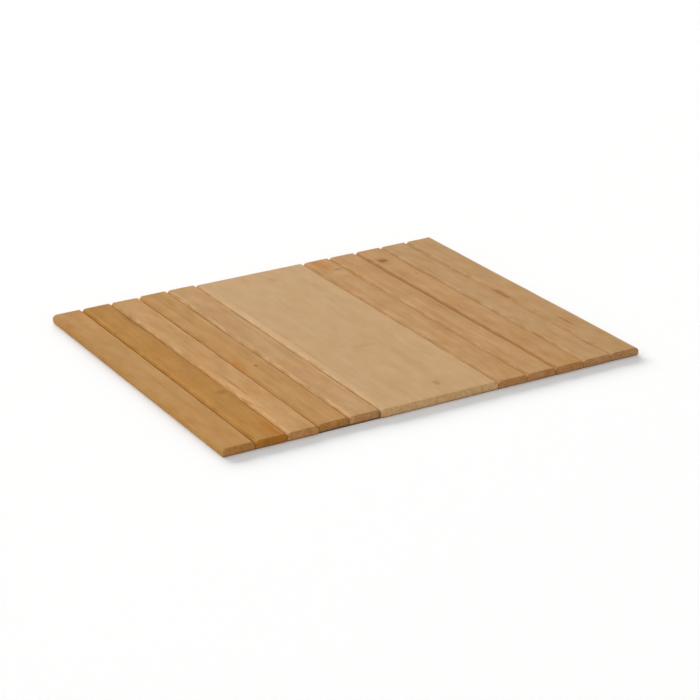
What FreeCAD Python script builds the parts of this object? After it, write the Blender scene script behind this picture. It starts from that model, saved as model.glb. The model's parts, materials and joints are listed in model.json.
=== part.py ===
import FreeCAD, Part
import os

# Slatted wooden mat. A wide centre panel has narrow slats on both sides, and every board is
# glued to one cloth backing, which is the only hinge between the boards.
#
# Millimetres. X runs across the slats, Y runs along them and +Z is up. The origin is the
# middle of the underside, so the cloth lies on Z = 0.

# Boards
board_length = 450.0
board_thickness = 9.0
panel_width = 149.4
slat_width = 37.4
outer_slat_width = 38.0
slats_per_side = 5
board_gap = 0.6

# Bevel along both long top edges of every board, and the lighter easing of its other edges
long_edge_bevel = 3.2
end_edge_ease = 0.8

# The two slats beside the panel on the left sit further along +Y than the other boards
stagger = 2.4
staggered_slats = ("left_1", "left_2")

# Cloth backing
backing_thickness = 1.0
backing_end_inset = 2.0
backing_side_inset = 1.0

# Bare cloth on each side of a fold line. The glued pieces keep clear of it, because the
# corners of two neighbours would run into each other in a square fold if they were nearer
# than half the cloth's thickness.
fold_margin = 1.2

# Places worked out from the sizes above
slat_pitch = slat_width + board_gap
first_fold_x = (panel_width + board_gap) / 2
near_end_y = -(board_length + stagger) / 2
backing_near_y = near_end_y + backing_end_inset
backing_length = board_length - 2 * backing_end_inset


def is_top_edge(edge, top_z, direction):
    """Tell whether a straight edge lies at top_z and runs along the given direction."""
    start, end = edge.Vertexes[0].Point, edge.Vertexes[1].Point
    run = end.sub(start).normalize()
    at_top = abs(start.z - top_z) < 1e-6 and abs(end.z - top_z) < 1e-6
    return at_top and abs(run.dot(direction)) > 0.999


def is_end_corner(edge):
    """Tell whether a straight edge stands upright at a corner of the board."""
    start, end = edge.Vertexes[0].Point, edge.Vertexes[1].Point
    return abs(end.sub(start).normalize().z) > 0.999


def board(left_x, width, near_y):
    """A board with bevelled long top edges and eased ends, standing on the cloth."""
    across = FreeCAD.Vector(1, 0, 0)
    along = FreeCAD.Vector(0, 1, 0)
    corner = FreeCAD.Vector(left_x, near_y, backing_thickness)
    top_z = backing_thickness + board_thickness
    blank = Part.makeBox(width, board_length, board_thickness, corner)
    long_edges = [edge for edge in blank.Edges if is_top_edge(edge, top_z, along)]
    bevelled = blank.makeChamfer(long_edge_bevel, long_edges)
    end_edges = [edge for edge in bevelled.Edges if is_top_edge(edge, top_z, across)]
    eased = bevelled.makeChamfer(end_edge_ease, end_edges)
    upright_edges = [edge for edge in eased.Edges if is_end_corner(edge)]
    return eased.makeChamfer(end_edge_ease / 2, upright_edges)


def backing(left_x, right_x):
    """The cloth glued under one board, between its two fold lines."""
    corner = FreeCAD.Vector(left_x, backing_near_y, 0)
    return Part.makeBox(right_x - left_x, backing_length, backing_thickness, corner)


def mirrored(shape):
    """The same shape on the other side of the mat's middle."""
    return shape.mirror(FreeCAD.Vector(0, 0, 0), FreeCAD.Vector(1, 0, 0))


def on_side(shape, side):
    """Put a shape that was made on the right on the named side."""
    return mirrored(shape) if side == "left" else shape


def make_slat(side, number):
    """Slat number 1 is beside the panel, and the last one is the outer slat."""
    width = outer_slat_width if number == slats_per_side else slat_width
    left_x = first_fold_x + slat_pitch * (number - 1) + board_gap / 2
    near_y = near_end_y
    if f"{side}_{number}" in staggered_slats:
        near_y += stagger
    return on_side(board(left_x, width, near_y), side)


def make_slat_backing(side, number):
    """The cloth under one slat. Under the outer slat it stops short of the slat's edge."""
    fold_x = first_fold_x + slat_pitch * (number - 1)
    right_x = fold_x + slat_pitch - fold_margin
    if number == slats_per_side:
        right_x = fold_x + board_gap / 2 + outer_slat_width - backing_side_inset
    return on_side(backing(fold_x + fold_margin, right_x), side)


def make_nodes():
    """Every piece of the mat, by its name."""
    half_backing = first_fold_x - fold_margin
    nodes = {
        "centre_panel": board(-panel_width / 2, panel_width, near_end_y),
        "backing_centre": backing(-half_backing, half_backing),
    }
    for side in ("left", "right"):
        for number in range(1, slats_per_side + 1):
            nodes[f"slat_{side}_{number}"] = make_slat(side, number)
            nodes[f"backing_{side}_{number}"] = make_slat_backing(side, number)
    return nodes


os.makedirs("parts", exist_ok=True)
for name, shape in make_nodes().items():
    shape.exportStep(f"parts/{name}.step")
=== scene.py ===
"""The looks of a slatted wooden mat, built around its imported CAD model.

A wide centre panel and ten narrow slats are glued to one cloth backing, which bends between
them. The script replaces the plain CAD boards with shaped and finished ones, lays the cloth
under them, and sets up a pale floor, soft light and a camera.

Everything is in metres, in the CAD frame: X runs across the slats, Y runs along them from the
near end to the far end, and Z is up. Shader patterns are worked out in millimetres.
"""

import json
import logging
import math
from abc import ABC, abstractmethod
from collections.abc import Iterable, Sequence
from dataclasses import dataclass, field
from enum import Enum

import bpy
from mathutils import Matrix, Vector, noise


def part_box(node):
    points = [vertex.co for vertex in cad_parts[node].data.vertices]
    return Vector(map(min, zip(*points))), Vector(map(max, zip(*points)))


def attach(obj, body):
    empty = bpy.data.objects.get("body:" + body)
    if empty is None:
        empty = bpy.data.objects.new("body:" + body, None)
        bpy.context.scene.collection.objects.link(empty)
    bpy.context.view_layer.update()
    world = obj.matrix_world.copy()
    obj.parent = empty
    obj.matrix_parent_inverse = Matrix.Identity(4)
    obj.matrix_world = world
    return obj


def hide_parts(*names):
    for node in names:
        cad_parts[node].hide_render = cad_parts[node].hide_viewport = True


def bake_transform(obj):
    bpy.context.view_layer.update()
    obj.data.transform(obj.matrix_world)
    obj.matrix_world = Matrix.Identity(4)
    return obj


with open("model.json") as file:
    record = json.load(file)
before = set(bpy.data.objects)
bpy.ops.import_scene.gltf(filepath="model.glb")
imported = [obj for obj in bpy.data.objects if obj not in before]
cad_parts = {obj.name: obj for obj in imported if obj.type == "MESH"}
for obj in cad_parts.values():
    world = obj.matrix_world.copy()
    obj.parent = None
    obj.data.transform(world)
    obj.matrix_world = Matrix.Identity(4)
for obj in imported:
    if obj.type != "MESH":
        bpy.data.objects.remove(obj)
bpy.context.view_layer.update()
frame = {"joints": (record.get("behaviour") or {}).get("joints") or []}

log = logging.getLogger("mat")

MM = 0.001
SLATS_PER_SIDE = 5
ARC_STEPS = 5
FLAT_MARGIN = 0.15 * MM
SHARP_ANGLE = math.radians(50)

FLOAT = "NodeSocketFloat"
VECTOR = "NodeSocketVector"
COLOUR = "NodeSocketColor"

Colour = tuple[float, float, float]
Triple = tuple[float, float, float]
Point = tuple[float, float]
Socket = bpy.types.NodeSocket
Value = Socket | float | Sequence[float]


def rgba(colour: Colour) -> tuple[float, float, float, float]:
    """Return an opaque colour as Blender's four numbers."""
    return (*colour, 1.0)


def scaled(colour: Colour, gains: Colour) -> Colour:
    """Return a colour with each of its channels multiplied."""
    return tuple(channel * gain for channel, gain in zip(colour, gains))


def smooth(value: float) -> float:
    """Return a smooth step of a value, from 0 to 1."""
    held = min(1.0, max(0.0, value))
    return held * held * (3 - 2 * held)


def drift(*place: float, size: float) -> float:
    """Return slow noise from -1 to 1.

    Args:
        place: Up to three coordinates, in metres.
        size: The width of one swell of the noise, in metres.
    """
    padded = (*place, 0.0, 0.0)[:3]
    return noise.noise(Vector(padded) / size)


def placed(name: str, mesh: bpy.types.Mesh) -> bpy.types.Object:
    """Return a new object with the mesh, linked to the scene."""
    made = bpy.data.objects.new(name, mesh)
    bpy.context.collection.objects.link(made)
    return made


def shaded(name: str, points: Sequence, faces: Sequence) -> bpy.types.Mesh:
    """Build a mesh that is shaded smooth between its sharp edges.

    Args:
        name: The mesh's name.
        points: The points' places.
        faces: The points of each face, by number.

    Returns:
        The new mesh.
    """
    mesh = bpy.data.meshes.new(name)
    mesh.from_pydata(points, [], faces)
    mesh.shade_smooth()
    mesh.set_sharp_from_angle(angle=SHARP_ANGLE)
    return mesh


# ---------------------------------------------------------------- shader wiring


class Graph:
    """Adds nodes to one node tree and links them."""

    def __init__(self, tree: bpy.types.NodeTree) -> None:
        """Start from a node tree.

        Args:
            tree: The tree of a material, a world or a node group.
        """
        self.tree = tree

    def fill(self, socket: Socket, value: Value) -> None:
        """Link a socket, or set the constant on it.

        Args:
            socket: The input to fill.
            value: Another node's output, or a plain value.
        """
        if isinstance(value, bpy.types.NodeSocket):
            self.tree.links.new(value, socket)
        else:
            socket.default_value = value

    def add(self, kind: str, inputs: dict[str | int, Value], **settings: object) -> bpy.types.Node:
        """Add one node.

        Args:
            kind: Blender's name for the node's type.
            inputs: What each input gets, by the input's name or place.
            settings: The node's own properties.

        Returns:
            The new node.
        """
        node = self.tree.nodes.new(kind)
        for name, setting in settings.items():
            setattr(node, name, setting)
        for key, value in inputs.items():
            self.fill(node.inputs[key], value)
        return node

    def maths(self, operation: str, *values: Value) -> Socket:
        """Return the result of a Math node."""
        return self.add("ShaderNodeMath", dict(enumerate(values)), operation=operation).outputs[0]

    def vector(self, operation: str, *values: Value) -> Socket:
        """Return the vector result of a Vector Math node."""
        node = self.add("ShaderNodeVectorMath", dict(enumerate(values)), operation=operation)
        return node.outputs["Vector"]

    def length(self, value: Value) -> Socket:
        """Return the length of a vector."""
        return self.add("ShaderNodeVectorMath", {0: value}, operation="LENGTH").outputs["Value"]

    def dot(self, first: Value, second: Value) -> Socket:
        """Return the dot product of two vectors."""
        inputs = {0: first, 1: second}
        return self.add("ShaderNodeVectorMath", inputs, operation="DOT_PRODUCT").outputs["Value"]

    def split(self, value: Value) -> tuple[Socket, Socket, Socket]:
        """Return the three parts of a vector."""
        parts = self.add("ShaderNodeSeparateXYZ", {0: value}).outputs
        return parts[0], parts[1], parts[2]

    def join(self, x: Value, y: Value, z: Value) -> Socket:
        """Return a vector made of three parts."""
        return self.add("ShaderNodeCombineXYZ", {0: x, 1: y, 2: z}).outputs[0]

    def noise(self, point: Value, grain: Triple, detail: float = 2.0) -> Socket:
        """Return noise around zero.

        Args:
            point: The place, in millimetres.
            grain: The size of one speck along X, Y and Z, in millimetres.
            detail: How many finer layers there are.

        Returns:
            A value that is mostly from -0.3 to 0.3.
        """
        place = self.vector("DIVIDE", point, grain)
        speck = self.add("ShaderNodeTexNoise", {"Vector": place, "Scale": 1.0, "Detail": detail})
        return self.maths("SUBTRACT", speck.outputs[0], 0.5)

    def step(self, value: Value, low: float, high: float) -> Socket:
        """Return a smooth step of a value from 0 at low to 1 at high."""
        limits = {"Value": value, "From Min": low, "From Max": high}
        return self.add("ShaderNodeMapRange", limits, interpolation_type="SMOOTHSTEP").outputs[0]

    def mix(self, share: Value, first: Value, second: Value, how: str = "MIX") -> Socket:
        """Return two colours combined.

        Args:
            share: How much of the second colour's effect there is.
            first: The colour to start from.
            second: The colour to bring in.
            how: Blender's name for the way of combining.
        """
        inputs = {0: share, 6: first, 7: second}
        return self.add("ShaderNodeMix", inputs, data_type="RGBA", blend_type=how).outputs[2]

    def total(self, *terms: Value) -> Socket:
        """Return the sum of several values."""
        result = terms[0]
        for term in terms[1:]:
            result = self.maths("ADD", result, term)
        return result

    def weigh(self, start: Value, *terms: tuple[Value, Value]) -> Socket:
        """Return a start value plus several values, each multiplied by its weight."""
        return self.total(start, *(self.maths("MULTIPLY", value, weight) for value, weight in terms))


def blank_graph(owner: bpy.types.Material | bpy.types.World) -> Graph:
    """Return the emptied node tree of a material or a world."""
    owner.use_nodes = True
    owner.node_tree.nodes.clear()
    return Graph(owner.node_tree)


class ShaderGroup(ABC):
    """A node group that is built once and placed in each material with its own values."""

    title: str
    inputs: dict[str, tuple[str, object]]
    outputs: dict[str, str]

    @abstractmethod
    def wire(self, graph: Graph, given: dict[str, Socket]) -> dict[str, Socket]:
        """Wire the group.

        Args:
            graph: The group's own tree.
            given: The group's inputs, by name.

        Returns:
            What each of the group's outputs gets, by name.
        """

    def tree(self) -> bpy.types.NodeTree:
        """Return the group's node tree, built at the first call."""
        made = bpy.data.node_groups.get(self.title)
        if made is not None:
            return made
        made = bpy.data.node_groups.new(self.title, "ShaderNodeTree")
        for name, (kind, default) in self.inputs.items():
            socket = made.interface.new_socket(name, in_out="INPUT", socket_type=kind)
            socket.default_value = default
        for name, kind in self.outputs.items():
            made.interface.new_socket(name, in_out="OUTPUT", socket_type=kind)
        start = made.nodes.new("NodeGroupInput")
        end = made.nodes.new("NodeGroupOutput")
        given = {name: start.outputs[name] for name in self.inputs}
        for name, socket in self.wire(Graph(made), given).items():
            made.links.new(socket, end.inputs[name])
        return made

    def place(self, graph: Graph, values: dict[str, Value]) -> dict[str, Socket]:
        """Place the group in a material.

        Args:
            graph: The material's tree.
            values: What the group's inputs get there, by name.

        Returns:
            The placed group's outputs, by name.
        """
        node = graph.tree.nodes.new("ShaderNodeGroup")
        node.node_tree = self.tree()
        for name, value in values.items():
            graph.fill(node.inputs[name], value)
        return {name: node.outputs[name] for name in self.outputs}


class WoodFigure(ShaderGroup):
    """Growth rings round a pith line, with soft patches, and streaks and pores along the board."""

    title = "Wood Figure"
    inputs = {
        "Point": (VECTOR, (0.0, 0.0, 0.0)),
        "Offset": (VECTOR, (0.0, 0.0, 0.0)),
        "Pith": (VECTOR, (0.0, 0.0, -60.0)),
        "Flow": (FLOAT, 0.0),
        "Ring Spacing": (FLOAT, 3.0),
        "Ring Contrast": (FLOAT, 0.4),
        "Streak Contrast": (FLOAT, 1.0),
        "Fibre Contrast": (FLOAT, 0.5),
        "Blotch Contrast": (FLOAT, 0.5),
        "Flush Amount": (FLOAT, 0.5),
        "Pore Amount": (FLOAT, 0.4),
        "Early Wood": (COLOUR, (1.0, 1.0, 1.0, 1.0)),
        "Late Wood": (COLOUR, (0.5, 0.5, 0.5, 1.0)),
        "Pore Colour": (COLOUR, (0.1, 0.1, 0.1, 1.0)),
        "Flushed": (COLOUR, (1.0, 0.9, 0.7, 1.0)),
        "Base Roughness": (FLOAT, 0.5),
    }
    outputs = {"Color": COLOUR, "Roughness": FLOAT, "Height": FLOAT}

    # The sizes of the patterns' specks across, along and up, in millimetres
    trunk_bend: Triple = (70.0, 260.0, 70.0)
    ring_wobble: Triple = (6.0, 70.0, 6.0)
    broad_streak: Triple = (11.0, 420.0, 11.0)
    narrow_streak: Triple = (2.4, 170.0, 2.4)
    fibre: Triple = (0.5, 18.0, 0.5)
    pore: Triple = (0.32, 5.0, 0.32)
    soft_patch: Triple = (13.0, 36.0, 13.0)
    warm_patch: Triple = (19.0, 75.0, 19.0)

    # How far the bend and the wobble shift the rings, in millimetres
    trunk_shift: float = 30.0
    wobble_shift: float = 3.0

    # How fast the years' widths change, and by how many years they shift
    year_rate: float = 0.23
    year_shift: float = 2.5

    # How dark the faintest year is, and how much darker the darkest is
    faintest_year: float = 0.3
    year_range: float = 0.7

    # Where in a year's growth the late wood starts, is darkest, and ends
    late_season: Triple = (0.25, 0.86, 0.88)

    # The shade of plain wood, and the share of late wood that leaves it as it is
    plain_shade: float = 0.5
    usual_late: float = 0.2

    # How much more the broad streaks count than the narrow ones
    broad_weight: float = 1.5

    # The values of the noise between which the warm patches and the pores fade in
    warm_edge: Point = (-0.05, 0.3)
    pore_edge: Point = (0.10, 0.22)

    # What the fibres, the broad streaks and the pores add to the roughness
    roughening: Triple = (0.16, 0.12, 0.3)

    # What the fibres, the late wood and the pores add to the relief
    raising: Triple = (0.5, 0.12, -0.8)

    def rings(self, graph: Graph, given: dict[str, Socket], point: Socket) -> Socket:
        """Return how much late wood there is, from 0 to 1.

        Args:
            graph: The group's own tree.
            given: The group's inputs.
            point: The place in the timber, in millimetres.
        """
        x, y, z = graph.split(given["Point"])
        pith_x, slope, pith_z = graph.split(given["Pith"])
        lean = graph.maths("MULTIPLY", slope, y)
        across = graph.maths("SUBTRACT", graph.maths("SUBTRACT", x, pith_x), lean)
        depth = graph.maths("SUBTRACT", z, pith_z)
        radius = graph.weigh(
            graph.length(graph.join(across, 0.0, depth)),
            (graph.noise(point, self.trunk_bend), self.trunk_shift),
            (graph.noise(point, self.ring_wobble), self.wobble_shift),
        )
        radius = graph.total(radius, given["Flow"])
        count = graph.maths("DIVIDE", radius, given["Ring Spacing"])
        slow_count = graph.join(graph.maths("MULTIPLY", count, self.year_rate), 0.0, 0.0)
        years = graph.weigh(count, (graph.noise(slow_count, (1.0, 1.0, 1.0)), self.year_shift))
        season = graph.maths("FRACT", years)
        start, darkest, end = self.late_season
        late = graph.step(season, start, darkest)
        turn = graph.maths("SUBTRACT", 1.0, graph.step(season, end, 1.0))
        year = graph.maths("FLOOR", years)
        strength = graph.add("ShaderNodeTexWhiteNoise", {"W": year}, noise_dimensions="1D").outputs[0]
        strength = graph.maths("MULTIPLY_ADD", strength, self.year_range, self.faintest_year)
        return graph.maths("MULTIPLY", graph.maths("MULTIPLY", late, turn), strength)

    def wire(self, graph: Graph, given: dict[str, Socket]) -> dict[str, Socket]:
        """Wire the figure, as ShaderGroup.wire says."""
        point = graph.vector("ADD", given["Point"], given["Offset"])
        late = self.rings(graph, given, point)
        broad = graph.noise(point, self.broad_streak, detail=3.0)
        narrow = graph.noise(point, self.narrow_streak, detail=3.0)
        streaks = graph.maths("MULTIPLY_ADD", broad, self.broad_weight, narrow)
        fibres = graph.noise(point, self.fibre)
        blotch = graph.noise(point, self.soft_patch)
        warmth = graph.step(graph.noise(given["Point"], self.warm_patch, detail=1.0), *self.warm_edge)
        pores = graph.step(graph.noise(point, self.pore, detail=1.0), *self.pore_edge)
        pores = graph.maths("MULTIPLY", pores, given["Pore Amount"])
        shade = graph.weigh(
            self.plain_shade,
            (graph.maths("SUBTRACT", late, self.usual_late), given["Ring Contrast"]),
            (streaks, given["Streak Contrast"]),
            (fibres, given["Fibre Contrast"]),
            (blotch, given["Blotch Contrast"]),
        )
        shade = graph.add("ShaderNodeClamp", {"Value": shade}).outputs[0]
        colour = graph.mix(shade, given["Early Wood"], given["Late Wood"])
        warmth = graph.maths("MULTIPLY", warmth, given["Flush Amount"])
        colour = graph.mix(warmth, colour, given["Flushed"], "MULTIPLY")
        colour = graph.mix(pores, colour, given["Pore Colour"])
        roughness = graph.weigh(given["Base Roughness"], *zip((fibres, broad, pores), self.roughening))
        height = graph.weigh(0.0, *zip((fibres, late, pores), self.raising))
        return {"Color": colour, "Roughness": roughness, "Height": height}


class WoodMark(ShaderGroup):
    """One knot, smudge or patch in a board: a ragged oval mask, and how the grain bends round it."""

    title = "Wood Mark"
    inputs = {
        "Point": (VECTOR, (0.0, 0.0, 0.0)),
        "Centre": (VECTOR, (0.0, 0.0, 0.0)),
        "Reach": (VECTOR, (10.0, 10.0, 100.0)),
        "Raggedness": (FLOAT, 1.0),
    }
    outputs = {"Mask": FLOAT, "Flow": FLOAT}

    # The size of the outline's raggedness, in millimetres
    rag: Triple = (3.0, 14.0, 3.0)

    # Where the mask fades out, as shares of the reach, and how fast the grain's bend dies away
    fade: Point = (0.25, 1.0)
    bend_decay: float = -0.7

    def wire(self, graph: Graph, given: dict[str, Socket]) -> dict[str, Socket]:
        """Wire the mark, as ShaderGroup.wire says."""
        away = graph.vector("SUBTRACT", given["Point"], given["Centre"])
        share = graph.length(graph.vector("DIVIDE", away, given["Reach"]))
        ragged = graph.noise(given["Point"], self.rag, detail=3.0)
        share = graph.total(share, graph.maths("MULTIPLY", ragged, given["Raggedness"]))
        mask = graph.maths("SUBTRACT", 1.0, graph.step(share, *self.fade))
        square = graph.maths("MULTIPLY", share, share)
        flow = graph.maths("POWER", math.e, graph.maths("MULTIPLY", square, self.bend_decay))
        return {"Mask": mask, "Flow": flow}


class EndGrain(ShaderGroup):
    """Darkens a board's sawn ends, where the oil soaks in, and roughens them with saw marks."""

    title = "End Grain"
    inputs = {
        "Color": (COLOUR, (1.0, 1.0, 1.0, 1.0)),
        "Soaked": (COLOUR, (0.5, 0.5, 0.5, 1.0)),
        "Point": (VECTOR, (0.0, 0.0, 0.0)),
        "Normal": (VECTOR, (0.0, 0.0, 1.0)),
        "Roughness": (FLOAT, 0.5),
        "Height": (FLOAT, 0.0),
    }
    outputs = {"Color": COLOUR, "Roughness": FLOAT, "Height": FLOAT}

    # How far a face must look along the board to count as its end
    end_facing: Point = (0.45, 0.8)

    # The sizes of the oil's patches and of the saw marks, in millimetres
    oil_patch: Triple = (5.0, 5.0, 2.5)
    saw_mark: Triple = (9.0, 9.0, 0.28)

    # How full the oil's patches are, and how much rougher the sawn end is
    oil_depth: float = 0.9
    saw_roughness: float = 0.2

    def wire(self, graph: Graph, given: dict[str, Socket]) -> dict[str, Socket]:
        """Wire the ends, as ShaderGroup.wire says."""
        along = graph.maths("ABSOLUTE", graph.split(given["Normal"])[1])
        mask = graph.step(along, *self.end_facing)
        blotch = graph.noise(given["Point"], self.oil_patch, detail=3.0)
        depth = graph.add("ShaderNodeClamp", {"Value": graph.total(self.oil_depth, blotch)}).outputs[0]
        soaked = graph.mix(1.0, given["Color"], given["Soaked"], "MULTIPLY")
        colour = graph.mix(graph.maths("MULTIPLY", mask, depth), given["Color"], soaked)
        saw = graph.noise(given["Point"], self.saw_mark, detail=1.0)
        height = graph.total(given["Height"], graph.maths("MULTIPLY", mask, saw))
        roughness = graph.maths("MULTIPLY_ADD", mask, self.saw_roughness, given["Roughness"])
        return {"Color": colour, "Roughness": roughness, "Height": height}


class EdgeWear(ShaderGroup):
    """Paints the bevels and arrises lighter and smoother, in broken stretches: partly rubbing, partly
    painted light that lifts the shade in the grooves between boards and paints a thin highlight round the
    ends.
    """

    title = "Edge Wear"
    inputs = {
        "Color": (COLOUR, (1.0, 1.0, 1.0, 1.0)),
        "Rubbed": (COLOUR, (1.2, 1.2, 1.2, 1.0)),
        "Point": (VECTOR, (0.0, 0.0, 0.0)),
        "Wear": (FLOAT, 0.0),
        "Roughness": (FLOAT, 0.5),
    }
    outputs = {"Color": COLOUR, "Roughness": FLOAT}

    # The size of one lightened stretch, in millimetres, and how sharply it starts
    stretch: Triple = (4.0, 22.0, 4.0)
    stretch_edge: Point = (-0.12, 0.1)

    # What rubbing adds to the roughness
    polish: float = -0.08

    def wire(self, graph: Graph, given: dict[str, Socket]) -> dict[str, Socket]:
        """Wire the rubbing and the painted light, as ShaderGroup.wire says."""
        broken = graph.step(graph.noise(given["Point"], self.stretch, detail=3.0), *self.stretch_edge)
        mask = graph.maths("MULTIPLY", given["Wear"], broken)
        # Paints the masked bevels paler: partly rubbing, partly painted light that lifts the shade in the
        # grooves.
        rubbed = graph.mix(1.0, given["Color"], given["Rubbed"], "MULTIPLY")
        colour = graph.mix(mask, given["Color"], rubbed)
        roughness = graph.maths("MULTIPLY_ADD", mask, self.polish, given["Roughness"])
        return {"Color": colour, "Roughness": roughness}


class Weave(ShaderGroup):
    """A plain weave of round threads that pass over and under each other."""

    title = "Weave"
    inputs = {
        "Point": (VECTOR, (0.0, 0.0, 0.0)),
        "Thread Pitch": (FLOAT, 0.9),
        "Thread": (COLOUR, (0.1, 0.1, 0.1, 1.0)),
        "Shadow": (COLOUR, (0.02, 0.02, 0.02, 1.0)),
        "Slub": (FLOAT, 1.0),
    }
    outputs = {"Color": COLOUR, "Height": FLOAT}

    # The sizes of the threads' sway, of thick places in the warp and the weft, and of single hairs
    sway_size: Triple = (9.0, 9.0, 9.0)
    warp_slub: Triple = (0.9, 14.0, 9.0)
    weft_slub: Triple = (14.0, 0.9, 9.0)
    hair: Triple = (0.15, 0.15, 0.15)

    # How far the threads sway, in millimetres, and how much their thick places stand out
    sway_reach: float = 1.2
    slub_relief: float = 0.4

    def wire(self, graph: Graph, given: dict[str, Socket]) -> dict[str, Socket]:
        """Wire the weave, as ShaderGroup.wire says."""
        sway = graph.maths("MULTIPLY", graph.noise(given["Point"], self.sway_size), self.sway_reach)
        x, y, _ = graph.split(given["Point"])
        across = graph.maths("DIVIDE", graph.total(x, sway), given["Thread Pitch"])
        along = graph.maths("DIVIDE", graph.total(y, sway), given["Thread Pitch"])
        warp = graph.maths("SINE", graph.maths("MULTIPLY", graph.maths("FRACT", across), math.pi))
        weft = graph.maths("SINE", graph.maths("MULTIPLY", graph.maths("FRACT", along), math.pi))
        cell = graph.total(graph.maths("FLOOR", across), graph.maths("FLOOR", along))
        over = graph.maths("FLOORED_MODULO", cell, 2.0)
        under = graph.maths("SUBTRACT", 1.0, over)
        height = graph.weigh(0.0, (warp, over), (weft, under))
        slub = graph.total(
            graph.noise(given["Point"], self.warp_slub),
            graph.noise(given["Point"], self.weft_slub),
            graph.noise(given["Point"], self.hair),
        )
        slub = graph.maths("MULTIPLY", slub, given["Slub"])
        shade = graph.add("ShaderNodeClamp", {"Value": graph.total(height, slub)}).outputs[0]
        colour = graph.mix(shade, given["Shadow"], given["Thread"])
        return {"Color": colour, "Height": graph.weigh(height, (slub, self.slub_relief))}


# ---------------------------------------------------------------- finishes


class Tone(Enum):
    """The wood's own colour in each board, as linear red, green and blue."""

    CREAM = (0.530, 0.334, 0.164)
    HONEY = (0.471, 0.253, 0.084)
    AMBER = (0.430, 0.209, 0.045)
    BLUSH = (0.519, 0.290, 0.115)
    STRAW = (0.499, 0.292, 0.129)
    WHEAT = (0.482, 0.273, 0.114)
    BISCUIT = (0.468, 0.277, 0.125)


class MarkKind(Enum):
    """What a mark is: the gain on the wood's colour, the raggedness and the bend of the grain."""

    KNOT = ((0.52, 0.36, 0.20), 0.6, 5.0)
    SMUDGE = ((0.82, 0.72, 0.56), 1.3, 0.0)
    FLUSH = ((1.02, 0.86, 0.62), 1.0, 0.0)
    # Paler wood; the long thin strips along two slats' right edges are painted highlights beside the
    # joints.
    PALE = ((1.10, 1.12, 1.16), 0.5, 0.0)
    LINE = ((0.74, 0.62, 0.46), 0.9, 0.0)

    @property
    def gain(self) -> Colour:
        """What the wood's colour is multiplied by."""
        return self.value[0]

    @property
    def raggedness(self) -> float:
        """How uneven the outline is."""
        return self.value[1]

    @property
    def bend(self) -> float:
        """How far the rings bend round the mark, in millimetres."""
        return self.value[2]


@dataclass(frozen=True)
class Mark:
    """A knot, smudge or patch in a board.

    Attributes:
        kind: What it is.
        across: Its place across the board, as a share of the width from the left.
        along: Its place along the board, as a share of the length from the near end.
        width: Its size across the board, in millimetres.
        length: Its size along the board, in millimetres.
        strength: How strong it is, from 0 to 1.
    """

    kind: MarkKind
    across: float
    along: float
    width: float
    length: float
    strength: float = 1.0


@dataclass(frozen=True)
class Timber:
    """Where in the log one board was sawn, and what shows in it.

    Attributes:
        tone: The wood's colour.
        pith: The log's centre from the middle of the board, across and up, in millimetres.
        slope: How far the log leans across the board for each unit of length.
        offset: A shift through the log, in millimetres, so that no two boards match.
        worn: How much paler the bevels are painted, from 0 to 1: partly rubbing, partly painted light that
            lifts the shade in the joints.
        planed: How wide the left and the right bevel are, as shares of the usual width.
        marks: What is in the board besides plain grain.
    """

    tone: Tone
    pith: Point
    slope: float
    offset: float
    worn: float
    planed: Point
    marks: tuple[Mark, ...] = ()

    @property
    def shift(self) -> Triple:
        """The shift through the log, which differs from axis to axis."""
        return self.offset, 3.1 * self.offset, 1.7 * self.offset


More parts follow.
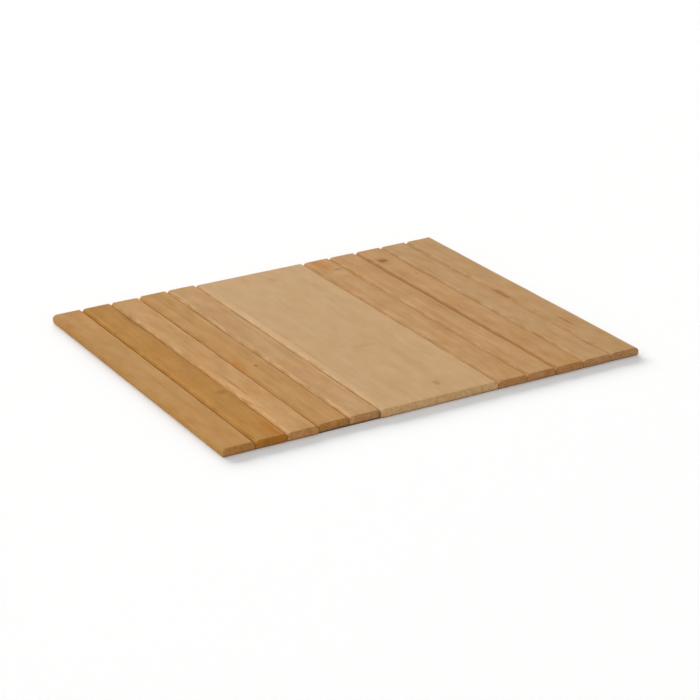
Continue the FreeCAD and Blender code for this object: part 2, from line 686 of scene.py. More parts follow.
@dataclass(frozen=True)
class WoodFinish:
    """Oiled wood with a satin face.

    Attributes:
        ring_spacing: The width of one year's growth, in millimetres.
        ring_contrast: How much the late wood shows.
        streak_contrast: How much the long streaks show.
        fibre_contrast: How much the fine fibres show.
        blotch_contrast: How much the broad soft patches show.
        flush_amount: How much the warm patches show.
        pore_amount: How much the pores show.
        roughness: The roughness of the plain face.
        relief: The depth of the grain's relief, in metres.
        early_gain: The light wood, as a gain on the board's tone.
        late_gain: The dark wood, as a gain on the board's tone.
        pore_gain: The pores, as a gain on the board's tone.
        soaked: The gain on the sawn ends.
        rubbed: The gain on the paler bevels and arrises: partly rubbing, partly painted light that lifts
            the shade in the joints.
        flushed: The gain in the warm patches.
        gloss: The strength of the oil's shine.
        relief_strength: How much of the relief shows.
    """

    ring_spacing: float
    ring_contrast: float
    streak_contrast: float
    fibre_contrast: float
    blotch_contrast: float
    flush_amount: float
    pore_amount: float
    roughness: float = 0.62
    relief: float = 0.00012
    early_gain: Colour = (1.14, 1.19, 1.30)
    late_gain: Colour = (0.86, 0.80, 0.68)
    pore_gain: Colour = (0.42, 0.34, 0.26)
    soaked: Colour = (0.77, 0.66, 0.60)
    rubbed: Colour = (1.24, 1.29, 1.36)
    flushed: Colour = (1.02, 0.90, 0.72)
    gloss: float = 0.012
    relief_strength: float = 0.7

    def material(self, name: str, timber: Timber, low: Vector, high: Vector) -> bpy.types.Material:
        """Make the material of one board.

        Args:
            name: The material's name.
            timber: Where the board was sawn, and what is in it.
            low: The board's lowest corner.
            high: The board's highest corner.

        Returns:
            The finished material.
        """
        made = bpy.data.materials.new(name)
        graph = blank_graph(made)
        place = graph.add("ShaderNodeTexCoord", {})
        point = graph.vector("DIVIDE", place.outputs["Object"], (MM,) * 3)
        flow: Value = 0.0
        masks = []
        for mark in timber.marks:
            outputs = self.mark(graph, point, mark, low, high)
            masks.append((mark, outputs["Mask"]))
            if mark.kind.bend:
                flow = graph.maths("MULTIPLY_ADD", outputs["Flow"], mark.kind.bend, flow)
        middle = (low + high) / (2 * MM)
        tone = timber.tone.value
        figure = WoodFigure().place(graph, {
            "Point": point,
            "Offset": timber.shift,
            "Pith": (middle.x + timber.pith[0], timber.slope, middle.z + timber.pith[1]),
            "Flow": flow,
            "Ring Spacing": self.ring_spacing,
            "Ring Contrast": self.ring_contrast,
            "Streak Contrast": self.streak_contrast,
            "Fibre Contrast": self.fibre_contrast,
            "Blotch Contrast": self.blotch_contrast,
            "Flush Amount": self.flush_amount,
            "Pore Amount": self.pore_amount,
            "Early Wood": rgba(scaled(tone, self.early_gain)),
            "Late Wood": rgba(scaled(tone, self.late_gain)),
            "Pore Colour": rgba(scaled(tone, self.pore_gain)),
            "Flushed": rgba(self.flushed),
            "Base Roughness": self.roughness,
        })
        colour = figure["Color"]
        for mark, mask in masks:
            share = graph.maths("MULTIPLY", mask, mark.strength)
            colour = graph.mix(share, colour, rgba(mark.kind.gain), "MULTIPLY")
        ends = EndGrain().place(graph, {
            "Color": colour,
            "Soaked": rgba(self.soaked),
            "Point": point,
            "Normal": place.outputs["Normal"],
            "Roughness": figure["Roughness"],
            "Height": figure["Height"],
        })
        # The mask of the paler bevels and rims: partly rubbing, partly painted light and painted highlight.
        wear_and_light_mask = graph.add("ShaderNodeAttribute", {}, attribute_name=Board.WEAR).outputs["Fac"]
        edges = EdgeWear().place(graph, {
            "Color": ends["Color"],
            "Rubbed": rgba(self.rubbed),
            "Point": point,
            "Wear": wear_and_light_mask,
            "Roughness": ends["Roughness"],
        })
        relief = graph.add("ShaderNodeBump", {
            "Height": ends["Height"],
            "Strength": self.relief_strength,
            "Distance": self.relief,
        })
        surface = graph.add("ShaderNodeBsdfPrincipled", {
            "Base Color": edges["Color"],
            "Roughness": edges["Roughness"],
            "Normal": relief.outputs[0],
            "Specular IOR Level": self.gloss,
        })
        graph.add("ShaderNodeOutputMaterial", {"Surface": surface.outputs[0]})
        return made

    def mark(self, graph: Graph, point: Socket, mark: Mark, low: Vector, high: Vector) -> dict[str, Socket]:
        """Place one mark's node group.

        Args:
            graph: The board's material.
            point: The place on the board, in millimetres.
            mark: The mark.
            low: The board's lowest corner.
            high: The board's highest corner.

        Returns:
            The group's outputs, by name.
        """
        centre_x = (low.x + mark.across * (high.x - low.x)) / MM
        centre_y = (low.y + mark.along * (high.y - low.y)) / MM
        return WoodMark().place(graph, {
            "Point": point,
            "Centre": (centre_x, centre_y, high.z / MM),
            "Reach": (mark.width / 2, mark.length / 2, mark.length),
            "Raggedness": mark.kind.raggedness,
        })


@dataclass(frozen=True)
class ClothFinish:
    """Woven cotton canvas.

    Attributes:
        thread: The colour of a thread in the light.
        shadow: The colour between the threads.
        pitch: The distance between two threads, in millimetres.
        relief: The depth of the weave, in metres.
        relief_strength: How much of the relief shows.
        roughness: The roughness between the threads.
        crown_polish: What the top of a thread adds to the roughness.
        gloss: The strength of the threads' shine.
        sheen: The strength of the nap's glow at a low angle.
        sheen_roughness: How soft that glow is.
    """

    thread: Colour = (0.150, 0.125, 0.100)
    shadow: Colour = (0.030, 0.024, 0.019)
    pitch: float = 0.9
    relief: float = 0.00018
    relief_strength: float = 0.8
    roughness: float = 0.92
    crown_polish: float = -0.08
    gloss: float = 0.25
    sheen: float = 0.25
    sheen_roughness: float = 0.5

    def material(self, name: str) -> bpy.types.Material:
        """Make the cloth's material.

        Args:
            name: The material's name.

        Returns:
            The finished material.
        """
        made = bpy.data.materials.new(name)
        graph = blank_graph(made)
        place = graph.add("ShaderNodeTexCoord", {})
        point = graph.vector("DIVIDE", place.outputs["Object"], (MM,) * 3)
        weave = Weave().place(graph, {
            "Point": point,
            "Thread Pitch": self.pitch,
            "Thread": rgba(self.thread),
            "Shadow": rgba(self.shadow),
        })
        relief = graph.add("ShaderNodeBump", {
            "Height": weave["Height"],
            "Strength": self.relief_strength,
            "Distance": self.relief,
        })
        roughness = graph.maths("MULTIPLY_ADD", weave["Height"], self.crown_polish, self.roughness)
        surface = graph.add("ShaderNodeBsdfPrincipled", {
            "Base Color": weave["Color"],
            "Roughness": roughness,
            "Normal": relief.outputs[0],
            "Specular IOR Level": self.gloss,
            "Sheen Weight": self.sheen,
            "Sheen Roughness": self.sheen_roughness,
        })
        graph.add("ShaderNodeOutputMaterial", {"Surface": surface.outputs[0]})
        return made


SLAT_FINISH = WoodFinish(
    ring_spacing=3.4,
    ring_contrast=0.20,
    streak_contrast=0.36,
    fibre_contrast=0.22,
    blotch_contrast=1.15,
    flush_amount=0.55,
    pore_amount=0.25,
)
PANEL_FINISH = WoodFinish(
    ring_spacing=2.2,
    ring_contrast=0.08,
    streak_contrast=0.18,
    fibre_contrast=0.2,
    blotch_contrast=0.6,
    flush_amount=0.2,
    pore_amount=0.15,
    roughness=0.60,
    soaked=(0.96, 0.92, 0.86),
)


# ---------------------------------------------------------------- boards


@dataclass(frozen=True)
class Corner:
    """One corner of a board's outline.

    Attributes:
        x: Its place across the mat, before it is eased.
        z: Its height, before it is eased.
        ease: How far from the corner the easing starts.
        run: How many pieces the straight run after it is divided into.
        worn: How much paler the corner is painted, from 0 to 1, for rubbing and painted light.
        worn_after: How much paler the straight run after it is painted, in the same way.
    """

    x: float
    z: float
    ease: float
    run: int = 1
    worn: float = 0.0
    worn_after: float = 0.0


def softened(corners: Sequence[Corner]) -> list[Triple]:
    """Ease the corners of a convex outline.

    Args:
        corners: The outline's corners, in order.

    Returns:
        The outline's points: across, up, and how much paler each is painted, for rubbing and painted light.
    """
    outline = []
    places = [Vector((corner.x, corner.z)) for corner in corners]
    for index, corner in enumerate(corners):
        here = places[index]
        after = (index + 1) % len(corners)
        back = (places[index - 1] - here).normalized() * corner.ease
        ahead = (places[after] - here).normalized()
        for step in range(ARC_STEPS + 1):
            share = step / ARC_STEPS
            start = here + back * (1 - share)
            end = here + ahead * corner.ease * share
            outline.append((*start.lerp(end, share), corner.worn))
        start = here + ahead * (corner.ease + FLAT_MARGIN)
        end = places[after] - ahead * (corners[after].ease + FLAT_MARGIN)
        run = range(corner.run + 1)
        outline.extend((*start.lerp(end, k / corner.run), corner.worn_after) for k in run)
    return outline


@dataclass
class Board:
    """One board of the mat, shaped inside its CAD solid's box.

    Where its bevels are narrower than the CAD's, the board stands a little proud of the solid.

    Attributes:
        node: The CAD node that the board stands for.
        body: The CAD body that it rides on.
        slot: The record's material slot; not used.
        timber: Where the board was sawn, and what is in it.
        finish: How it is finished.
        bevel: The width of the bevels on the long top edges.
        bevel_drift: How much the hand-planed bevels vary.
        arris_ease: How far the easing of the bevels' upper arrises reaches.
        shoulder_ease: How far the easing of the bevels' lower arrises reaches.
        foot_ease: How far the easing along the underside reaches.
        end_ease: How far the ends are rounded over.
        hollow: How deep the planed face's slow waves are.
        gap_drift: How far the long sides wander inward.
        end_skew: How far out of square the ends are sawn.
        end_wave: How much a sawn end wanders.
        swells: How long the slow waves of the bevels, the sides and the face are.
        ripples: How long the quick waves of the bevels and the sawn ends are.
        ripple_share: How strong the bevels' quick waves are beside their slow ones.
        skew_seeds: What turns the board's seed into the skew of its near and its far end.
        end_worn: How much paler the rounded rim of each end is painted: partly rubbing, partly a painted
            highlight.
        station: The distance between two sections along the board.
        face_step: The distance between two points across the face.
        low: The CAD board's lowest corner.
        high: The CAD board's highest corner.
    """

    # The mesh attribute that marks the bevels and rims painted paler, partly for rubbing and partly as
    # painted light.
    WEAR = "arris_wear"

    node: str
    body: str
    slot: str
    timber: Timber
    finish: WoodFinish
    bevel: float = 0.0031
    bevel_drift: float = 0.0007
    arris_ease: float = 0.0011
    shoulder_ease: float = 0.0006
    foot_ease: float = 0.0004
    end_ease: float = 0.0009
    hollow: float = 0.00016
    gap_drift: float = 0.0001
    end_skew: float = 0.0006
    end_wave: float = 0.00015
    swells: Triple = (0.09, 0.07, 0.022)
    ripples: Point = (0.018, 0.006)
    ripple_share: float = 0.35
    skew_seeds: Point = (900.0, 700.0)
    end_worn: float = 0.6
    station: float = 0.0045
    face_step: float = 0.004
    low: Vector = field(init=False)
    high: Vector = field(init=False)

    def __post_init__(self) -> None:
        """Read the board's place from the frame."""
        self.low, self.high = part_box(self.node)

    @property
    def seed(self) -> float:
        """A number of the board's own, in metres, that sets its small faults."""
        return self.timber.offset * MM

    def stations(self) -> list[Point]:
        """Return the sections along the board.

        Returns:
            Each section's place as a share of the length, and how far it is drawn in.
        """
        length = self.high.y - self.low.y
        turns = [math.radians(angle) for angle in (0, 22.5, 45, 67.5, 90)]
        rounded = [(self.end_ease * (1 - math.sin(a)), self.end_ease * (1 - math.cos(a))) for a in turns]
        near = [(place / length, drawn) for place, drawn in reversed(rounded)]
        far = [(1 - place, drawn) for place, drawn in reversed(near)]
        count = round(length / self.station)
        first = near[-1][0] + 0.5 * self.station / length
        plain = [(first + (1 - 2 * first) * k / count, 0.0) for k in range(count + 1)]
        return near + plain + far

    def bevels(self, y: float) -> Point:
        """Return the widths of the left and the right bevel at a place along the board."""
        sides = []
        for side, planed in enumerate(self.timber.planed):
            slow = drift(y, side + self.seed, self.seed, size=self.swells[0])
            quick = drift(y, side - self.seed, self.seed, size=self.ripples[0])
            sides.append(planed * self.bevel + self.bevel_drift * (slow + self.ripple_share * quick))
        return sides[0], sides[1]

    def section(self, y: float, drawn: float) -> list[Triple]:
        """Draw the board's outline at one place.

        Args:
            y: The place along the board.
            drawn: How far the outline is drawn in, at a rounded end.

        Returns:
            The outline's points, as softened gives them.
        """
        left_bevel, right_bevel = self.bevels(y)
        left_drift = 0.5 + 0.5 * drift(y, self.seed, size=self.swells[1])
        right_drift = 0.5 + 0.5 * drift(y, self.seed + 1, size=self.swells[1])
        left = self.low.x + self.gap_drift * left_drift + drawn
        right = self.high.x - self.gap_drift * right_drift - drawn
        bottom = self.low.z + 0.5 * drawn
        top = self.high.z - drawn
        across = round((self.high.x - self.low.x) / self.face_step)
        # The bevels are painted paler: partly rubbing, partly painted light that lifts the shade in the
        # joints.
        worn = self.timber.worn
        return softened((
            Corner(left, bottom, self.foot_ease, across),
            Corner(right, bottom, self.foot_ease, 2),
            Corner(right, top - right_bevel, self.shoulder_ease, 2, 0.5 * worn, worn),
            Corner(right - right_bevel, top, self.arris_ease, across, worn),
            Corner(left + left_bevel, top, self.arris_ease, 2, worn, worn),
            Corner(left, top - left_bevel, self.shoulder_ease, 2, 0.5 * worn),
        ))

    def settle(self, x: float, y: float, z: float, share: float) -> Vector:
        """Give a point of the board its small faults.

        Args:
            x: The point's place across the mat.
            y: The point's place along the mat.
            z: The point's height.
            share: The point's place along the board, from 0 to 1.

        Returns:
            The point where it really is.
        """
        height = (z - self.low.z) / (self.high.z - self.low.z)
        wave = 0.5 + 0.5 * drift(x, 0.3 * y, self.seed, size=self.swells[2])
        slope = (x - self.low.x) / (self.high.x - self.low.x)
        near_skew = 0.5 + 0.5 * math.sin(self.skew_seeds[0] * self.seed)
        far_skew = 0.5 + 0.5 * math.cos(self.skew_seeds[1] * self.seed)
        near_cut = self.end_skew * abs(slope - near_skew)
        far_cut = self.end_skew * abs(slope - far_skew)
        ragged = 1 + drift(x, 0.5 * z, self.seed + round(share), size=self.ripples[1])
        near_cut += self.end_wave * ragged
        far_cut += self.end_wave * ragged
        shift = near_cut * (1 - share) - far_cut * share
        return Vector((x, y + shift, z - self.hollow * wave * smooth(4 * height - 3)))

    def build(self) -> bpy.types.Object:
        """Build the board's mesh.

        Returns:
            The new object, with no material.
        """
        points: list[Vector] = []
        wear_and_light_mask: list[float] = []
        rows = []
        for share, drawn in self.stations():
            y = self.low.y + share * (self.high.y - self.low.y)
            outline = self.section(y, drawn)
            rows.append(range(len(points), len(points) + len(outline)))
            points.extend(self.settle(x, y, z, share) for x, z, _ in outline)
            # The rims of the rounded ends are painted paler too: partly rubbing, partly a painted
            # highlight.
            rim = self.end_worn if 0 < drawn < self.end_ease else 0.0
            wear_and_light_mask.extend(max(rim, worn) for _, _, worn in outline)
        faces = [tuple(rows[0]), tuple(reversed(rows[-1]))]
        for near, far in zip(rows, rows[1:]):
            for k in range(len(near)):
                faces.append((near[k - 1], far[k - 1], far[k], near[k]))
        mesh = shaded(self.node, points, faces)
        attribute = mesh.attributes.new(self.WEAR, "FLOAT", "POINT")
        attribute.data.foreach_set("value", wear_and_light_mask)
        return placed(f"{self.node}_shaped", mesh)

    def dress(self, board: bpy.types.Object) -> None:
        """Give the board its finish and its place in the frame.

        Args:
            board: The built object.
        """
        material = self.finish.material(f"Wood {self.node}", self.timber, self.low, self.high)
        board.data.materials.append(material)
        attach(board, self.body)
        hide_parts(self.node)

    def make(self) -> bpy.types.Object:
        """Build and dress the board."""
        board = self.build()
        self.dress(board)
        log.info("%s: %d faces, on body %s", board.name, len(board.data.polygons), self.body)
        return board


# ---------------------------------------------------------------- cloth


class Side(Enum):
    """The two sides of the panel, with the direction of each along X."""

    LEFT = -1
    RIGHT = 1

    @property
    def label(self) -> str:
        """The side's name in nodes, bodies and joints."""
        return self.name.lower()


@dataclass
class BackingStrip:
    """The stretch of the cloth backing round one fold line, from mid-board to mid-board.

    Attributes:
        side: The side of the panel.
        number: The fold's number, counted outward from the panel.
        finish: How the cloth is finished.
        inner: Where the strip starts, at the middle of the inner board.
        outer: Where it ends, at the middle of the outer board or at the cloth's edge.
        fold: The fold line's place across the mat.
        fold_reach: How far on each side of the line the cloth bends; not used.
        crease: How deep the crease under a fold line is.
        crease_reach: How far from the line the crease ends.
        nap: How uneven the cloth's underside is.
        nap_size: How wide one swell of the nap is.
        fray: How uneven the cut edges are.
        fray_sizes: How wide one swell of the cut is, at the strip's ends and at its outer edge.
        fold_step: The distance between two points across the strip near the fold.
        plain_step: That distance elsewhere.
        rows_along: How many pieces the strip is divided into along the mat.
    """

    side: Side
    number: int
    finish: bpy.types.Material
    inner: float
    outer: float
    fold: Vector
    fold_reach: float = 0.0010
    crease: float = 0.00022
    crease_reach: float = 0.0012
    nap: float = 0.00006
    nap_size: float = 0.011
    fray: float = 0.0003
    fray_sizes: Point = (0.004, 0.006)
    fold_step: float = 0.00025
    plain_step: float = 0.005
    rows_along: int = 74

    @property
    def nodes(self) -> list[str]:
        """The CAD nodes that the strip stands for."""
        own = f"backing_{self.side.label}_{self.number}"
        return [own, "backing_centre"] if self.number == 1 else [own]

    @property
    def bodies(self) -> tuple[str, str]:
        """The bodies on the inner and the outer side of the fold."""
        inner = "centre" if self.number == 1 else f"{self.side.label}_{self.number - 1}"
        return inner, f"{self.side.label}_{self.number}"

    def columns(self) -> list[float]:
        """Return the places across the strip, close together at the fold."""
        near_fold = [self.fold.x + self.fold_step * k for k in range(-8, 9)]
        sign = self.side.value
        first, last = near_fold[::sign][0], near_fold[::sign][-1]
        ends = (self.inner, first), (last, self.outer)
        plain = []
        for start, end in ends:
            count = max(1, round(abs(end - start) / self.plain_step))
            plain.extend(start + (end - start) * k / count for k in range(count + 1))
        return sorted({round(x, 7) for x in plain + near_fold})

    def underside(self, x: float, y: float) -> float:
        """Return the height of the cloth's underside at a place."""
        crease = self.crease * (1 - smooth(abs(x - self.fold.x) / self.crease_reach))
        nap = self.nap * (0.5 + 0.5 * drift(x, y, 2.0, size=self.nap_size))
        return crease + nap

    def build(self) -> bpy.types.Object:
        """Build the strip as a thin closed sheet.

        Returns:
            The new object, with no material.
        """
        low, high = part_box(self.nodes[0])
        columns = self.columns()
        rows = [low.y + (high.y - low.y) * k / self.rows_along for k in range(self.rows_along + 1)]
        near, far = rows[0], rows[-1]
        points = []
        for top in (False, True):
            for y in rows:
                for x in columns:
                    shift_y = 0.0
                    if y in (near, far):
                        inward = 1 if y == near else -1
                        shift_y = self.fray * drift(x, y, 5.0, size=self.fray_sizes[0]) * inward
                    shift_x = 0.0
                    if self.number == SLATS_PER_SIDE and x == self.outer_column(columns):
                        shift_x = self.fray * drift(y, x, 9.0, size=self.fray_sizes[1])
                    z = high.z if top else low.z + self.underside(x, y)
                    points.append((x + shift_x, y + shift_y, z))
        faces = self.skin(len(columns), len(rows))
        mesh = shaded(self.nodes[0], points, faces)
        return placed(f"backing_strip_{self.side.label}_{self.number}", mesh)

    def outer_column(self, columns: Sequence[float]) -> float:
        """Return the column at the strip's outer edge."""
        return columns[-1] if self.side is Side.RIGHT else columns[0]

    @staticmethod
    def skin(across: int, along: int) -> list[tuple[int, int, int, int]]:
        """Return the faces of a closed sheet.

        Args:
            across: How many points the sheet has across.
            along: How many points it has along.

        Returns:
            The faces of the underside, the top and the rim, facing outward.
        """
        layer = across * along
        faces = []
        for row in range(along - 1):
            for column in range(across - 1):
                a = row * across + column
                b, c, d = a + 1, a + across + 1, a + across
                faces.append((a, d, c, b))
                faces.append((a + layer, b + layer, c + layer, d + layer))
        for column in range(across - 1):
            near, far = column, (along - 1) * across + column
            faces.append((near, near + 1, near + 1 + layer, near + layer))
            faces.append((far + 1, far, far + layer, far + 1 + layer))
        for row in range(along - 1):
            left, right = row * across, row * across + across - 1
            faces.append((left + across, left, left + layer, left + across + layer))
            faces.append((right, right + across, right + across + layer, right + layer))
        return faces

    def make(self) -> bpy.types.Object:
        """Build the strip, finish it and hide the CAD parts that it stands for."""
        strip = self.build()
        strip.data.materials.append(self.finish)
        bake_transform(strip)
        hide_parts(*self.nodes)
        nodes = ("centre_panel" if body == "centre" else f"slat_{body}" for body in self.bodies)
        boards = [f"{node}_shaped" for node in nodes]
        return strip


# ---------------------------------------------------------------- the mat


@dataclass
class Mat:
    """The whole mat: its boards and the cloth under them.

    Attributes:
        panel_timber: Where the centre panel was sawn, and what is in it.
        left_timbers: The same for the slats on the left, from the panel outward.
        right_timbers: The same for the slats on the right.
    """

    panel_timber: Timber = Timber(
        tone=Tone.CREAM,
        pith=(38.0, -95.0),
        slope=0.02,
        offset=61.0,
        worn=0.65,
        planed=(0.55, 0.95),
        marks=(
            Mark(MarkKind.PALE, 0.03, 0.5, 14.0, 620.0, 0.9),
            Mark(MarkKind.LINE, 0.078, 0.45, 2.4, 560.0, 0.35),
            Mark(MarkKind.SMUDGE, 0.60, 0.925, 13.0, 26.0, 0.6),
            Mark(MarkKind.SMUDGE, 0.60, 0.075, 9.0, 20.0, 0.9),
            Mark(MarkKind.SMUDGE, 0.52, 0.38, 34.0, 18.0, 0.35),
            Mark(MarkKind.SMUDGE, 0.36, 0.40, 14.0, 10.0, 0.2),
        ),
    )
    left_timbers: tuple[Timber, ...] = (
        Timber(Tone.STRAW, (60.0, -40.0), 0.010, 7.0, 1.0, (0.8, 0.65), (
            Mark(MarkKind.LINE, 0.74, 0.55, 4.0, 380.0, 0.25),
            Mark(MarkKind.FLUSH, 0.85, 0.92, 18.0, 60.0, 0.5),
        )),
        Timber(Tone.HONEY, (-45.0, -70.0), 0.028, 19.0, 0.35, (0.95, 0.85), (
            Mark(MarkKind.KNOT, 0.51, 0.40, 6.5, 8.0, 0.8),
            Mark(MarkKind.LINE, 0.41, 0.83, 3.0, 190.0, 0.6),
            Mark(MarkKind.PALE, 0.25, 0.70, 12.0, 260.0, 0.5),
            Mark(MarkKind.FLUSH, 0.12, 0.43, 13.0, 70.0, 1.0),
        )),
        Timber(Tone.BLUSH, (4.0, -24.0), -0.006, 31.0, 1.0, (0.75, 1.0), (
            Mark(MarkKind.LINE, 0.30, 0.31, 3.6, 110.0, 0.9),
            Mark(MarkKind.PALE, 0.22, 0.22, 16.0, 260.0, 0.8),
        )),
        Timber(Tone.AMBER, (30.0, -55.0), -0.024, 43.0, 0.65, (0.9, 0.8), (
            Mark(MarkKind.SMUDGE, 0.76, 0.30, 20.0, 16.0, 0.9),
            Mark(MarkKind.LINE, 0.95, 0.86, 12.0, 130.0, 0.9),
            Mark(MarkKind.FLUSH, 0.72, 0.05, 24.0, 80.0, 1.0),
            Mark(MarkKind.SMUDGE, 0.5, 0.35, 24.0, 110.0, 0.3),
        )),
        Timber(Tone.HONEY, (-70.0, -30.0), 0.008, 53.0, 0.1, (1.0, 0.95), (
            Mark(MarkKind.SMUDGE, 0.6, 0.12, 20.0, 90.0, 0.3),
            # A painted highlight along the slat's right bevel, beside the joint.
            Mark(MarkKind.PALE, 0.92, 0.5, 5.0, 700.0, 0.8),
        )),
    )
    right_timbers: tuple[Timber, ...] = (
        Timber(Tone.WHEAT, (-25.0, -45.0), 0.020, 71.0, 0.45, (0.95, 0.85), (
            Mark(MarkKind.FLUSH, 0.45, 0.955, 40.0, 56.0, 1.0),
            Mark(MarkKind.KNOT, 0.70, 0.905, 18.0, 12.0, 0.45),
            Mark(MarkKind.PALE, 0.58, 0.875, 26.0, 24.0, 0.9),
        )),
        Timber(Tone.WHEAT, (50.0, -60.0), -0.012, 83.0, 0.75, (0.8, 1.0), (
            Mark(MarkKind.LINE, 0.10, 0.37, 1.6, 16.0, 0.5),
            Mark(MarkKind.SMUDGE, 0.80, 0.53, 5.0, 60.0, 0.6),
            # A painted highlight along the slat's right bevel, beside the joint.
            Mark(MarkKind.PALE, 0.93, 0.5, 5.0, 700.0, 0.8),
        )),
        Timber(Tone.WHEAT, (-12.0, -38.0), 0.014, 97.0, 0.1, (1.05, 0.75), (
            Mark(MarkKind.LINE, 0.03, 0.5, 5.0, 900.0, 0.75),
            Mark(MarkKind.KNOT, 0.37, 0.898, 20.0, 17.0, 0.8),
            Mark(MarkKind.SMUDGE, 0.34, 0.90, 34.0, 44.0, 0.6),
            Mark(MarkKind.PALE, 0.93, 0.69, 2.6, 8.0, 0.8),
            Mark(MarkKind.SMUDGE, 0.72, 0.76, 7.0, 12.0, 0.5),
        )),
        Timber(Tone.BISCUIT, (64.0, -50.0), -0.018, 109.0, 0.8, (0.7, 0.9), (
            Mark(MarkKind.LINE, 0.92, 0.84, 14.0, 200.0, 0.4),
            Mark(MarkKind.LINE, 0.94, 0.11, 9.0, 60.0, 0.8),
        )),
        Timber(Tone.BISCUIT, (20.0, -30.0), 0.016, 127.0, 0.6, (0.9, 1.0), (
            Mark(MarkKind.LINE, 0.07, 0.50, 6.0, 60.0, 0.8),
            Mark(MarkKind.LINE, 0.40, 0.26, 6.0, 60.0, 0.7),
            Mark(MarkKind.PALE, 0.20, 0.50, 8.0, 120.0, 0.5),
        )),
    )

    def boards(self) -> list[Board]:
        """Return the panel and the slats, from the panel outward on each side."""
        made = [Board("centre_panel", "centre", "panel_wood", self.panel_timber, PANEL_FINISH)]
        for side, timbers in ((Side.LEFT, self.left_timbers), (Side.RIGHT, self.right_timbers)):
            for number, timber in enumerate(timbers, start=1):
                body = f"{side.label}_{number}"
                made.append(Board(f"slat_{body}", body, "slat_wood", timber, SLAT_FINISH))
        return made

    def strips(self, finish: bpy.types.Material) -> Iterable[BackingStrip]:
        """Cut the backing into one strip for each fold line.

        Args:
            finish: The cloth's material.

        Yields:
            The strips, from the panel outward on each side.
        """
        folds = {joint["name"]: Vector(joint["pos_m"]) for joint in frame["joints"]}
        for side in Side:
            inner = 0.0
            for number in range(1, SLATS_PER_SIDE + 1):
                low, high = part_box(f"slat_{side.label}_{number}")
                outer = (low.x + high.x) / 2
                if number == SLATS_PER_SIDE:
                    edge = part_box(f"backing_{side.label}_{number}")[(side.value + 1) // 2]
                    outer = edge.x
                fold = folds[f"fold_{side.label}_{number}"]
                yield BackingStrip(side, number, finish, inner, outer, fold)
                inner = outer

    def make(self) -> None:
        """Make every piece of the mat."""
        for board in self.boards():
            board.make()
        cloth = ClothFinish().material("Backing cloth")
        for strip in self.strips(cloth):
            strip.make()


# ---------------------------------------------------------------- the studio


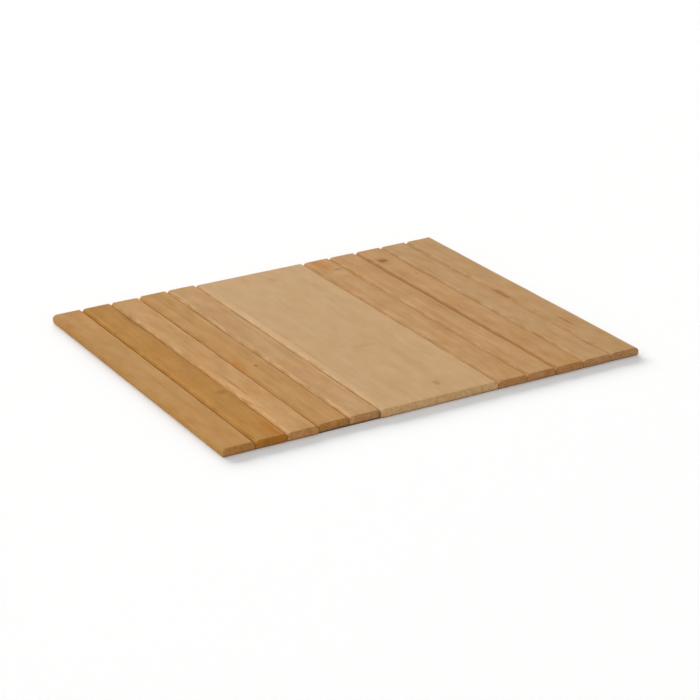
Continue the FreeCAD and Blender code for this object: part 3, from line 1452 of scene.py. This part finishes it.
@dataclass
class Studio:
    """A pale floor, soft lights from behind, in front and the left, and the camera.

    Attributes:
        floor_size: The floor's half width.
        floor_colour: The floor's colour.
        floor_roughness: How matt the floor is.
        floor_gloss: The strength of the floor's shine.
        contact: How near the floor a surface must be for light to come up to it through the floor.
        fill: The brightness of the light from all round.
        fill_colour: Its colour.
        key: The brightness of the broad light behind the mat.
        key_colour: Its colour.
        key_direction: Where the middle of the broad light is, as a direction.
        key_spread: How wide the broad light is, as sines of half angles across and up.
        card: The brightness of the low card in front, which lifts the near ends.
        card_direction: Where the middle of the card is, as a direction.
        card_spread: How wide the card is, in the same way.
        side: The brightness of the soft card on the left, which lifts the bevels.
        side_direction: Where its middle is, as a direction.
        side_spread: How wide it is, in the same way.
        light_edge: Where each light fades out, as shares of its half width.
        eye: The camera's place.
        aim: What the camera looks at.
        roll: How far the camera leans to one side, in radians.
        focal_length: The lens's focal length, in millimetres.
        sensor_width: The width of the camera's sensor, in millimetres.
    """

    floor_size: float = 40.0
    floor_colour: Colour = (0.985, 0.985, 0.985)
    floor_roughness: float = 0.9
    floor_gloss: float = 0.1
    contact: float = 0.5 * MM
    fill: float = 0.44
    fill_colour: Colour = (0.96, 0.98, 1.00)
    key: float = 11.9
    key_colour: Colour = (1.0, 0.985, 0.96)
    key_direction: Triple = (0.05, 0.94, 0.345)
    key_spread: Point = (0.52, 0.17)
    card: float = 1.0
    card_direction: Triple = (0.0, -0.98, 0.22)
    card_spread: Point = (0.80, 0.20)
    side: float = 0.95
    side_direction: Triple = (-0.72, -0.05, 0.69)
    side_spread: Point = (0.45, 0.35)
    light_edge: Point = (0.7, 1.2)
    eye: Triple = (-1.1873, -2.1263, 0.9768)
    aim: Triple = (-0.0064, -0.0385, 0.0)
    roll: float = math.radians(-0.9)
    focal_length: float = 115.6
    sensor_width: float = 36.0

    def lay_floor(self) -> None:
        """Lay the floor, which can be seen through from below and lets light up to what lies on it."""
        reach = self.floor_size
        mesh = bpy.data.meshes.new("floor")
        corners = [(-reach, -reach, 0), (reach, -reach, 0), (reach, reach, 0), (-reach, reach, 0)]
        mesh.from_pydata(corners, [], [(0, 1, 2, 3)])
        floor = placed("floor", mesh)
        material = bpy.data.materials.new("Floor")
        graph = blank_graph(material)
        paper = graph.add("ShaderNodeBsdfPrincipled", {
            "Base Color": rgba(self.floor_colour),
            "Roughness": self.floor_roughness,
            "Specular IOR Level": self.floor_gloss,
        })
        clear = graph.add("ShaderNodeBsdfTransparent", {})
        under = graph.add("ShaderNodeNewGeometry", {}).outputs["Backfacing"]
        travelled = graph.add("ShaderNodeLightPath", {}).outputs["Ray Length"]
        open_share = graph.maths("MAXIMUM", under, graph.maths("LESS_THAN", travelled, self.contact))
        surface = graph.add("ShaderNodeMixShader", {
            0: open_share,
            1: paper.outputs[0],
            2: clear.outputs[0],
        })
        graph.add("ShaderNodeOutputMaterial", {"Surface": surface.outputs[0]})
        mesh.materials.append(material)

    def light(self) -> None:
        """Light the scene from all round, and most from a broad soft source behind the mat."""
        world = bpy.data.worlds.new("Studio")
        bpy.context.scene.world = world
        graph = blank_graph(world)
        glow = graph.weigh(
            0.0,
            (self.panel(graph, self.key_direction, self.key_spread), self.key),
            (self.panel(graph, self.card_direction, self.card_spread), self.card),
            (self.panel(graph, self.side_direction, self.side_spread), self.side),
        )
        fill = graph.add("ShaderNodeBackground", {"Color": rgba(self.fill_colour), "Strength": self.fill})
        key = graph.add("ShaderNodeBackground", {"Color": rgba(self.key_colour), "Strength": glow})
        both = graph.add("ShaderNodeAddShader", {0: fill.outputs[0], 1: key.outputs[0]})
        graph.add("ShaderNodeOutputWorld", {"Surface": both.outputs[0]})

    def panel(self, graph: Graph, middle: Triple, spread: Point) -> Socket:
        """Return the mask of one soft rectangular light in the sky.

        Args:
            graph: The world's tree.
            middle: Where the light's middle is, as a direction.
            spread: How wide the light is, as sines of half angles across and up.
        """
        direction = graph.add("ShaderNodeTexCoord", {}).outputs["Generated"]
        ahead = Vector(middle).normalized()
        beside = ahead.cross(Vector((0, 0, 1))).normalized()
        mask = graph.step(graph.dot(direction, ahead), 0.0, 0.1)
        for axis, half in ((beside, spread[0]), (beside.cross(ahead), spread[1])):
            away = graph.maths("ABSOLUTE", graph.dot(direction, axis))
            fade = graph.step(away, *(share * half for share in self.light_edge))
            edge = graph.maths("SUBTRACT", 1.0, fade)
            mask = graph.maths("MULTIPLY", mask, edge)
        return mask

    def set_camera(self) -> None:
        """Put the camera at its place, a little above and to the left of the near end."""
        data = bpy.data.cameras.new("camera")
        data.lens = self.focal_length
        data.sensor_width = self.sensor_width
        camera = bpy.data.objects.new("camera", data)
        bpy.context.collection.objects.link(camera)
        eye, aim = Vector(self.eye), Vector(self.aim)
        turn = (aim - eye).to_track_quat("-Z", "Y").to_matrix().to_4x4()
        camera.matrix_world = Matrix.Translation(eye) @ turn @ Matrix.Rotation(self.roll, 4, "Z")
        bpy.context.scene.camera = camera

    def make(self) -> None:
        """Set up the floor, the light and the camera."""
        self.set_camera()
        self.lay_floor()
        self.light()
        bpy.context.scene.view_settings.view_transform = "Standard"
        log.info("studio ready")


def main() -> None:
    """Build the mat and its studio."""
    logging.basicConfig(level=logging.INFO, format="%(name)s: %(message)s")
    Studio().make()
    Mat().make()


if __name__ == "__main__":
    main()
